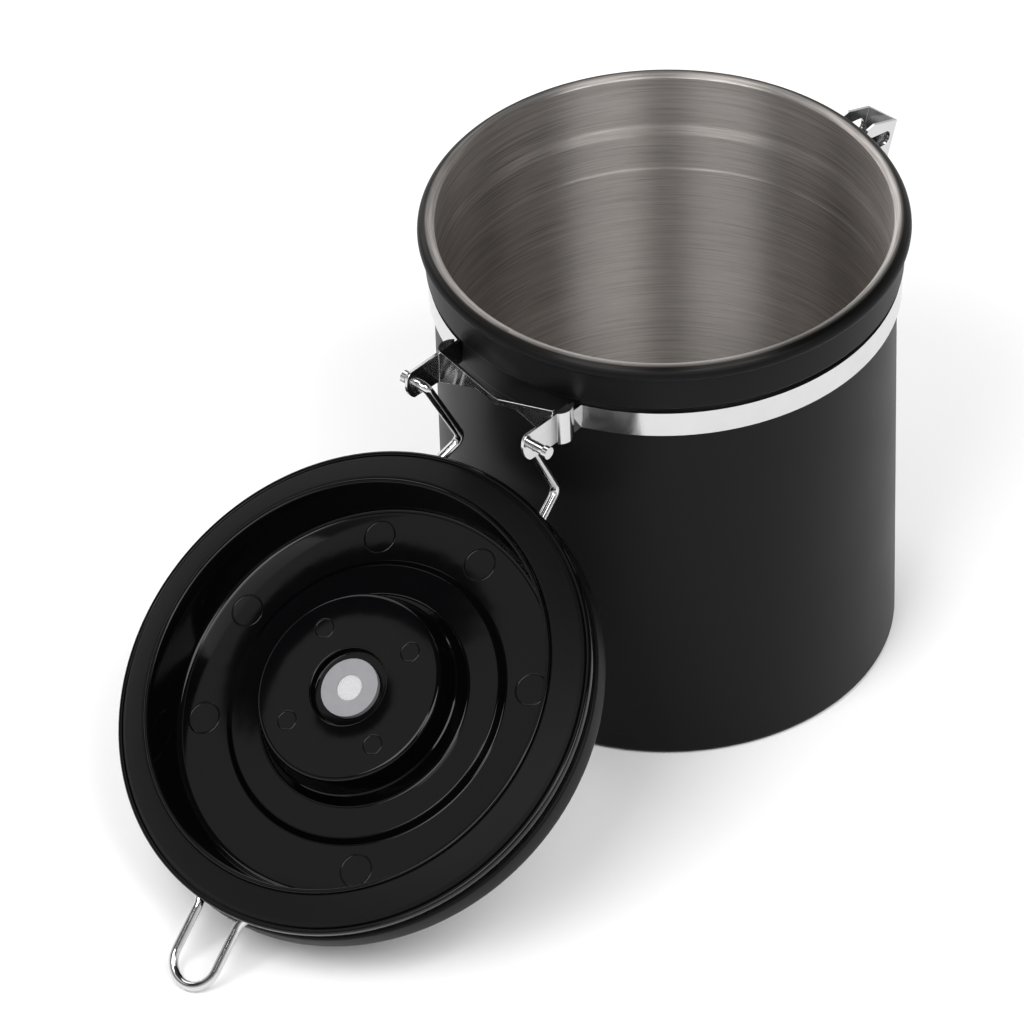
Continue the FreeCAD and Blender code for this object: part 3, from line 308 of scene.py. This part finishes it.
def filter_material(colours):
    """Pressed white fibre: dull, with a felt-like surface."""
    material, tree, shader, place = new_material("white_filter")
    fibre = node(tree, "ShaderNodeTexNoise", {"Vector": place, "Scale": per_mm(0.4), "Detail": 3})
    fibre = fibre.outputs["Fac"]
    dark, light = shades(colours.filter, 0.06)
    colour = node(tree, "ShaderNodeMix", {"Factor": fibre, "A": dark, "B": light}, data_type="RGBA")
    rough = node(tree, "ShaderNodeMapRange", {"Value": fibre, "To Min": 0.55, "To Max": 0.7})
    bump = node(tree, "ShaderNodeBump", {"Height": fibre, "Strength": 0.4, "Distance": 0.3 * MM})
    join(tree, shader, {
        "Base Color": colour.outputs["Result"], "Roughness": rough.outputs["Result"],
        "Normal": bump.outputs["Normal"]})
    return material


def paper_material(colours):
    """Matte paper of the studio floor, very slightly uneven."""
    material, tree, shader, place = new_material("studio_paper")
    cloud = node(tree, "ShaderNodeTexNoise", {"Vector": place, "Scale": per_mm(300)}).outputs["Fac"]
    dark, light = shades(colours.floor, 0.01)
    colour = node(tree, "ShaderNodeMix", {"Factor": cloud, "A": dark, "B": light}, data_type="RGBA")
    join(tree, shader, {"Base Color": colour.outputs["Result"], "Roughness": 0.9, "Specular IOR Level": 0.0})
    return material


MAKERS = {
    "coated_steel": coat_material,
    "brushed_steel": brushed_material,
    "polished_steel": bright_material,
    "black_moulding": moulding_material,
    "black_silicone": silicone_material,
    "clear_valve": valve_material,
    "white_filter": filter_material,
}
_materials = {}


def slot_material(context, slot):
    """The material of one of the record's slots, made once."""
    if slot not in _materials:
        _materials[slot] = MAKERS[slot](context.scene.canister_colours)
    return _materials[slot]


def node_slots():
    """The material slot of each CAD node."""
    return {part["node"]: part["material_slot"] for part in frame["record"]["subparts"]}


def rounded(outline):
    """Round the corners (r, z, radius) of a closed outline into small arcs, in metres.

    An arc runs from the point where it leaves one side to the point where it meets the next, both seen from
    its centre, and each of its points is the two weighted by the sines of the angles left and gone.
    """
    points = []
    count = len(outline)
    share = np.linspace(0, 1, CORNER_STEPS + 1)[:, None]
    for i, corner in enumerate(outline):
        spot = np.array(corner[:2], float)
        radius = corner[2] if len(corner) > 2 else 0.0
        if radius <= 0:
            points.append(spot)
            continue
        back = np.array(outline[i - 1][:2], float) - spot
        ahead = np.array(outline[(i + 1) % count][:2], float) - spot
        back_length = np.linalg.norm(back)
        ahead_length = np.linalg.norm(ahead)
        back /= back_length
        ahead /= ahead_length
        opening = math.acos(max(-1.0, min(1.0, float(back @ ahead))))
        run = min(radius / math.tan(opening / 2), 0.49 * back_length, 0.49 * ahead_length)
        radius = run * math.tan(opening / 2)
        inwards = (back + ahead) / np.linalg.norm(back + ahead)
        centre = spot + inwards * radius / math.sin(opening / 2)
        first = spot + back * run - centre
        last = spot + ahead * run - centre
        sweep = math.pi - opening
        weighted = first * np.sin((1 - share) * sweep) + last * np.sin(share * sweep)
        points.extend(centre + weighted / math.sin(sweep))
    return np.array(points)


def arc(middle, across, up, first, last):
    """Points along an ellipse: its middle, plus across times the cosine and up times the sine of an angle."""
    turn = np.radians(np.linspace(first, last, ARC_STEPS + 1))
    return list(zip(middle[0] + across * np.cos(turn), middle[1] + up * np.sin(turn)))


def add_mesh(name, vertices, faces):
    """A smooth-shaded object at the origin from vertices and faces."""
    mesh = bpy.data.meshes.new(name)
    mesh.from_pydata(np.asarray(vertices).tolist(), [], faces)
    mesh.validate()
    mesh.polygons.foreach_set("use_smooth", [True] * len(mesh.polygons))
    mesh.update()
    piece = bpy.data.objects.new(name, mesh)
    bpy.context.collection.objects.link(piece)
    return piece


def turned(name, outline, sharp=35.0):
    """Turn a closed outline of (radius, height) about Z: each point goes round a circle of its own radius.

    Points on the axis become single vertices, so that the poles are closed. Edges that turn by more than the
    sharp angle, in degrees, stay hard.
    """
    points = rounded(outline)
    area = 0.5 * np.sum(points[:, 0] * np.roll(points[:, 1], -1) - np.roll(points[:, 0], -1) * points[:, 1])
    if area < 0:
        points = points[::-1]
    radius = points[:, :1]
    height = np.repeat(points[:, 1:], SEGMENTS, axis=1)
    angles = np.arange(SEGMENTS) * TURN / SEGMENTS
    places = np.stack([radius * np.cos(angles), radius * np.sin(angles), height], axis=-1).reshape(-1, 3)
    index = np.arange(len(places)).reshape(-1, SEGMENTS)
    pole = points[:, 0] < 1e-7
    index[pole] = index[pole, :1]
    used, index = np.unique(index, return_inverse=True)
    index = index.reshape(-1, SEGMENTS)
    following = np.roll(index, -1, axis=0)
    ends_in_pole = np.roll(pole, -1)
    quads = np.stack([index, np.roll(index, -1, axis=1), np.roll(following, -1, axis=1), following], axis=-1)
    faces = quads[~pole & ~ends_in_pole].reshape(-1, 4).tolist()
    faces += quads[pole & ~ends_in_pole][..., [0, 2, 3]].reshape(-1, 3).tolist()
    faces += quads[~pole & ends_in_pole][..., :3].reshape(-1, 3).tolist()
    piece = add_mesh(name, places[used], faces)
    piece.data.set_sharp_from_angle(angle=math.radians(sharp))
    return piece


def scaled(outline):
    """An outline given in millimetres, in metres."""
    return [tuple(value * MM for value in corner) for corner in outline]


def lid_matrix(sizes):
    """From the lid's own frame to where it stands when opened about the hinge."""
    hinge = Vector((-sizes.hinge_reach, 0, sizes.hinge_height))
    turn = Matrix.Rotation(-sizes.opening, 4, "Y")
    closed = Matrix.Translation(Vector((0, 0, sizes.plane)) - hinge)
    return Matrix.Translation(hinge) @ turn @ closed


def settle(context, piece, slot, body, *nodes):
    """Give a new piece its material, body and the CAD nodes it stands for."""
    piece.data.materials.append(slot_material(context, slot))
    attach(piece, body)
    if nodes:
        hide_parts(*nodes)


class CANISTER_OT_shell(bpy.types.Operator):
    """Build the coated outside, the brushed inside and the rolled rim of the canister"""
    bl_idname = "canister.shell"
    bl_label = "Build canister shell"

    def execute(self, context):
        s = context.scene.canister_sizes
        middle = s.wall / 2
        soft = 0.8 * MM
        seat_rise = 0.3 * MM
        least_edge = 0.2 * MM

        def side(inset):
            """Outline of the wall, moved inwards by inset, from the axis up to the rim."""
            return [
                (0, inset),
                (s.body_radius - inset, inset, max(s.base_edge - inset, least_edge)),
                (s.body_radius - inset, s.seat_bottom, soft),
                (s.seat_radius - inset, s.seat_bottom + seat_rise, soft),
                (s.seat_radius - inset, s.seat_top, soft),
                (s.neck_radius - inset, s.shoulder_top, soft),
                (s.neck_radius - inset, s.rim_waist),
            ]

        coat = turned("canister_coat", side(0.0) + side(middle)[::-1])
        settle(context, coat, "coated_steel", "canister", "canister_body")
        slow = 3.0 * MM
        edge = 0.7 * MM
        inside = [
            (0, s.wall),
            (s.bottom_radius, s.wall, edge),
            (s.bottom_radius, s.ring_bottom, slow),
            (s.bore_radius, s.ring_top, slow),
            (s.bore_radius, s.step_bottom, slow),
            (s.throat_radius, s.step_top, slow),
            (s.throat_radius, s.rim_bottom),
        ]
        skin = turned("canister_inside", side(middle) + inside[::-1])
        settle(context, skin, "brushed_steel", "canister", "canister_body")
        self.rim(context, s)
        return {"FINISHED"}

    def rim(self, context, s):
        """The rolled rim: coated outside, bare steel from its top inwards."""
        soft = 0.3 * MM
        sharp = 60.0
        root = (s.neck_radius - s.wall, s.rim_bottom)
        waist = s.rim_waist
        under = arc((s.neck_radius, waist), s.rim_radius - s.neck_radius, waist - s.rim_bottom, -90, 0)
        over = arc((s.rim_top_radius, waist), s.rim_radius - s.rim_top_radius, s.height - waist, 0, 90)
        outside = [root] + under + over[1:COATED_STEPS + 1]
        lip = [root] + over[COATED_STEPS:] + [
            (s.lip_radius, s.height - LIP_SLOPE * (s.rim_top_radius - s.lip_radius), soft),
            (s.throat_radius, s.rim_bottom),
        ]
        settle(context, turned("rim_coat", outside, sharp), "coated_steel", "canister", "canister_body")
        settle(context, turned("rim_lip", lip, sharp), "brushed_steel", "canister", "canister_body")


class CANISTER_OT_liner(bpy.types.Operator):
    """Build the moulded underside of the lid with its moulding marks"""
    bl_idname = "canister.liner"
    bl_label = "Build lid liner"

    def execute(self, context):
        lid = context.scene.canister_lid
        outline = scaled([
            # Floor round the valve and face of the hub.
            (5.1, 0.2), (9.7, 0.2, 0.4), (9.9, HUB_FACE, 0.4), (23.9, HUB_FACE, 1.3),
            # Side of the hub with its small step.
            (25.3, 4.2, 0.3), (25.7, 4.5, 0.3), (27.2, 7.7, 0.9),
            # Terrace, trough and the wall up to the gasket's inner edge.
            (35.0, 7.7, 0.6), (36.5, TROUGH_FLOOR, 0.8), (49.8, TROUGH_FLOOR, 1.6), (51.9, -4.0, 0.45),
            (53.0, -4.0, 0.4),
            # Seat of the gasket and the outer flange.
            (53.0, 0.7), (60.5, 0.7), (60.5, 0.2, 0.25), (61.77, 0.2, 0.9), (61.77, 2.3, 0.6),
            # Collar under the cap, with room for the wire outside it.
            (58.0, 2.3), (58.0, 11.6), (56.2, 11.6), (56.2, 2.3),
            # Back of the trough, the terrace and the hub.
            (53.7, 2.3), (51.6, 11.0), (35.0, 11.0), (33.5, 9.5), (25.4, 9.5), (22.1, -0.2), (11.5, -0.2),
            (11.5, 2.0), (5.1, 2.0)])
        liner = turned("lid_liner_form", outline)
        liner.data.transform(lid_matrix(lid))
        settle(context, liner, "black_moulding", "lid", "lid_liner")
        marks = self.marks(lid)
        marks.data.transform(lid_matrix(lid))
        settle(context, marks, "black_moulding", "lid")
        return {"FINISHED"}

    def marks(self, lid):
        """Fine raised circles: flat, mostly sunk tori on the trough floor and on the hub face.

        A point lies out from its mark's middle by the mark's radius plus the tube times the cosine of the
        angle round the tube. Its depth is the floor's plus the tube times the sunk share and a flattened sine.
        """
        round_steps = 48
        tube_steps = 8
        tube = 0.30 * MM
        sunk = 0.2
        flattened = 0.4
        trough = [(lid.mark_circle, degrees, lid.mark_radius, TROUGH_FLOOR * MM) for degrees in TROUGH_MARKS]
        hub = [(lid.hub_mark_circle, degrees, lid.hub_mark_radius, HUB_FACE * MM) for degrees in HUB_MARKS]
        circle, degrees, radius, depth = np.array(trough + hub).T[:, :, None, None]
        turn = np.radians(degrees)
        a = (np.arange(round_steps) * TURN / round_steps)[None, :, None]
        b = (np.arange(tube_steps) * TURN / tube_steps)[None, None, :]
        reach = radius + tube * np.cos(b)
        x = circle * np.cos(turn) + reach * np.cos(a)
        y = circle * np.sin(turn) + reach * np.sin(a)
        z = depth + tube * (sunk + flattened * np.sin(b))
        vertices = np.stack(np.broadcast_arrays(x, y, z), axis=-1).reshape(-1, 3)
        index = np.arange(len(vertices)).reshape(x.shape)
        ahead = np.roll(index, -1, axis=1)
        faces = np.stack([index, ahead, np.roll(ahead, -1, axis=2), np.roll(index, -1, axis=2)], axis=-1)
        return add_mesh("liner_marks", vertices, faces.reshape(-1, 4).tolist())


class CANISTER_OT_gasket(bpy.types.Operator):
    """Build the sealing ring of the lid"""
    bl_idname = "canister.gasket"
    bl_label = "Build gasket"

    def execute(self, context):
        outline = scaled([(53.05, -3.9, 0.5), (59.4, -0.7, 0.8), (60.2, 0.0, 0.3), (60.2, 0.7), (53.05, 0.7)])
        gasket = turned("lid_gasket_form", outline)
        gasket.data.transform(lid_matrix(context.scene.canister_lid))
        settle(context, gasket, "black_silicone", "lid", "lid_gasket")
        return {"FINISHED"}


class CANISTER_OT_cap(bpy.types.Operator):
    """Build the sheet top of the lid"""
    bl_idname = "canister.cap"
    bl_label = "Build lid cap"

    def execute(self, context):
        outline = scaled([
            # Outside, from the edge turned in under the rim to the hole for the vent.
            (58.3, 5.2), (61.6, 5.2, 0.8), (61.6, 12.4, 2.7), (6.2, 12.4),
            # Inside, back to that edge.
            (6.2, 11.6), (60.8, 11.6, 1.9), (60.8, 6.0), (58.3, 6.0)])
        cap = turned("lid_cap_form", outline)
        cap.data.transform(lid_matrix(context.scene.canister_lid))
        settle(context, cap, "coated_steel", "lid", "lid_cap")
        return {"FINISHED"}


class CANISTER_OT_fittings(bpy.types.Operator):
    """Give the CAD fittings and the valve their materials"""
    bl_idname = "canister.fittings"
    bl_label = "Dress fittings"

    def execute(self, context):
        slots = node_slots()
        for name, piece in frame["nodes"].items():
            piece.data.materials.clear()
            piece.data.materials.append(slot_material(context, slots[name]))
        return {"FINISHED"}


class CANISTER_OT_edges(bpy.types.Operator):
    """Build the sheet fittings with their edges broken, so that they catch the light"""
    bl_idname = "canister.edges"
    bl_label = "Soften sheet edges"

    def execute(self, context):
        slots = node_slots()
        bodies = frame["record"]["behaviour"]["bodies"]
        width = 0.16 * MM
        for name in ("hinge_bracket", "latch_bracket", "clamp_lever"):
            piece = self.softened(frame["nodes"][name], name + "_form", width)
            body = next(key for key, names in bodies.items() if name in names)
            settle(context, piece, slots[name], body, name)
        return {"FINISHED"}

    def softened(self, source, name, width):
        """A flat-shaded copy of a fitting whose sharp edges are bevelled by a width."""
        work = bmesh.new()
        work.from_mesh(source.data)
        work.transform(source.matrix_world)
        bmesh.ops.remove_doubles(work, verts=work.verts, dist=0.001 * MM)
        bmesh.ops.dissolve_limit(work, angle_limit=math.radians(0.5), verts=work.verts, edges=work.edges)
        sharp = [edge for edge in work.edges if edge.is_manifold and edge.calc_face_angle() > SHARP_EDGE]
        bmesh.ops.bevel(
            work, geom=sharp, offset=width, segments=2, profile=0.5, affect="EDGES", clamp_overlap=True)
        for face in work.faces:
            face.smooth = False
        mesh = bpy.data.meshes.new(name)
        work.to_mesh(mesh)
        work.free()
        old_normals = mesh.attributes.get("custom_normal")
        if old_normals:
            mesh.attributes.remove(old_normals)
        piece = bpy.data.objects.new(name, mesh)
        bpy.context.collection.objects.link(piece)
        return piece


class CANISTER_OT_stage(bpy.types.Operator):
    """Set up floor, light, world and camera"""
    bl_idname = "canister.stage"
    bl_label = "Build stage"

    def execute(self, context):
        scene = context.scene
        self.floor(scene)
        self.world(scene)
        body = (0, 0, 0.08)
        self.light("left", (-1.02, -0.14, 1.23), body, 0.8, 14)
        self.light("right", (-0.32, -0.98, 1.23), body, 0.8, 14)
        self.light("lid", (-0.730, 0.418, 0.898), (-0.118, 0, 0.052), 0.6, 0.70, "DISK")
        self.light("back", (0.5, 1.2, 1.2), (0, 0, 0.06), 1.2, 10)
        self.camera(scene)
        scene.view_settings.view_transform = "Standard"
        return {"FINISHED"}

    def floor(self, scene):
        """A wide pale floor that keeps the soft shadow."""
        half = 6.0
        below = -0.2 * MM
        corners = [(-half, -half, below), (half, -half, below), (half, half, below), (-half, half, below)]
        floor = add_mesh("studio_floor", corners, [(0, 1, 2, 3)])
        floor.data.materials.append(paper_material(scene.canister_colours))

    def world(self, scene):
        """White for the camera, grey for matte surfaces; mirrors see a pale horizon under a dark top."""
        grey = 0.45
        horizon = 0.8
        top = 0.05
        world = bpy.data.worlds.new("studio")
        scene.world = world
        world.use_nodes = True
        tree = world.node_tree
        tree.nodes.clear()
        path = node(tree, "ShaderNodeLightPath")
        way = node(tree, "ShaderNodeTexCoord").outputs["Generated"]
        height = node(tree, "ShaderNodeSeparateXYZ", {"Vector": way}).outputs["Z"]
        mirrored = node(tree, "ShaderNodeMapRange", {
            "Value": height, "From Min": 0.2, "From Max": 0.5, "To Min": horizon, "To Max": top})
        level = node(tree, "ShaderNodeMix", {
            "Factor": path.outputs["Is Glossy Ray"], "A": grey, "B": mirrored.outputs["Result"]},
            data_type="FLOAT")
        room = node(tree, "ShaderNodeBackground", {
            "Color": (1, 1, 1, 1), "Strength": level.outputs["Result"]})
        white = node(tree, "ShaderNodeBackground", {"Color": (1, 1, 1, 1), "Strength": 1.0})
        mix = node(tree, "ShaderNodeMixShader", {
            0: path.outputs["Is Camera Ray"], 1: room.outputs["Background"], 2: white.outputs["Background"]})
        node(tree, "ShaderNodeOutputWorld", {"Surface": mix.outputs["Shader"]})

    def light(self, name, place, target, size, watts, shape="SQUARE"):
        """A softbox that looks at a target."""
        lamp = bpy.data.lights.new(name, "AREA")
        lamp.shape = shape
        lamp.size = size
        lamp.energy = watts
        holder = bpy.data.objects.new(name, lamp)
        holder.location = place
        aim = Vector(target) - Vector(place)
        holder.rotation_euler = aim.to_track_quat("-Z", "Y").to_euler()
        bpy.context.collection.objects.link(holder)

    def camera(self, scene):
        """The photo's viewpoint, found by fitting the outlines of rim, base, lid and wire."""
        data = bpy.data.cameras.new("photo_camera")
        data.sensor_fit = "HORIZONTAL"
        data.sensor_width = 36.0
        data.lens = 281.27
        data.clip_end = 50.0
        camera = bpy.data.objects.new("photo_camera", data)
        place = Vector((-1.156139, -0.992326, 1.325006))
        right = Vector((0.65458, -0.75559, -0.02487))
        up = Vector((0.50168, 0.40953, 0.76197))
        back = right.cross(up)
        turn = Matrix((right, up, back)).transposed().to_4x4()
        camera.matrix_world = Matrix.Translation(place) @ turn
        bpy.context.collection.objects.link(camera)
        scene.camera = camera


class CANISTER_PT_panel(bpy.types.Panel):
    """Sizes, colours and build steps of the canister"""
    bl_idname = "CANISTER_PT_panel"
    bl_label = "Coffee canister"
    bl_space_type = "VIEW_3D"
    bl_region_type = "UI"
    bl_category = "Canister"

    def draw(self, context):
        scene = context.scene
        for group in (scene.canister_sizes, scene.canister_lid, scene.canister_colours):
            box = self.layout.box()
            for key in group.__annotations__:
                box.prop(group, key)
        for operator in OPERATORS:
            self.layout.operator(operator.bl_idname)


OPERATORS = (
    CANISTER_OT_shell, CANISTER_OT_liner, CANISTER_OT_gasket, CANISTER_OT_cap, CANISTER_OT_fittings,
    CANISTER_OT_edges, CANISTER_OT_stage)
CLASSES = (CanisterSizes, LidSizes, CanisterColours) + OPERATORS + (CANISTER_PT_panel,)


def register():
    for item in CLASSES:
        bpy.utils.register_class(item)
    bpy.types.Scene.canister_sizes = bpy.props.PointerProperty(type=CanisterSizes)
    bpy.types.Scene.canister_lid = bpy.props.PointerProperty(type=LidSizes)
    bpy.types.Scene.canister_colours = bpy.props.PointerProperty(type=CanisterColours)


def unregister():
    del bpy.types.Scene.canister_colours
    del bpy.types.Scene.canister_lid
    del bpy.types.Scene.canister_sizes
    for item in reversed(CLASSES):
        bpy.utils.unregister_class(item)


def main():
    register()
    bpy.ops.canister.fittings()
    bpy.ops.canister.shell()
    bpy.ops.canister.liner()
    bpy.ops.canister.gasket()
    bpy.ops.canister.cap()
    bpy.ops.canister.edges()
    bpy.ops.canister.stage()


if __name__ == "__main__":
    main()
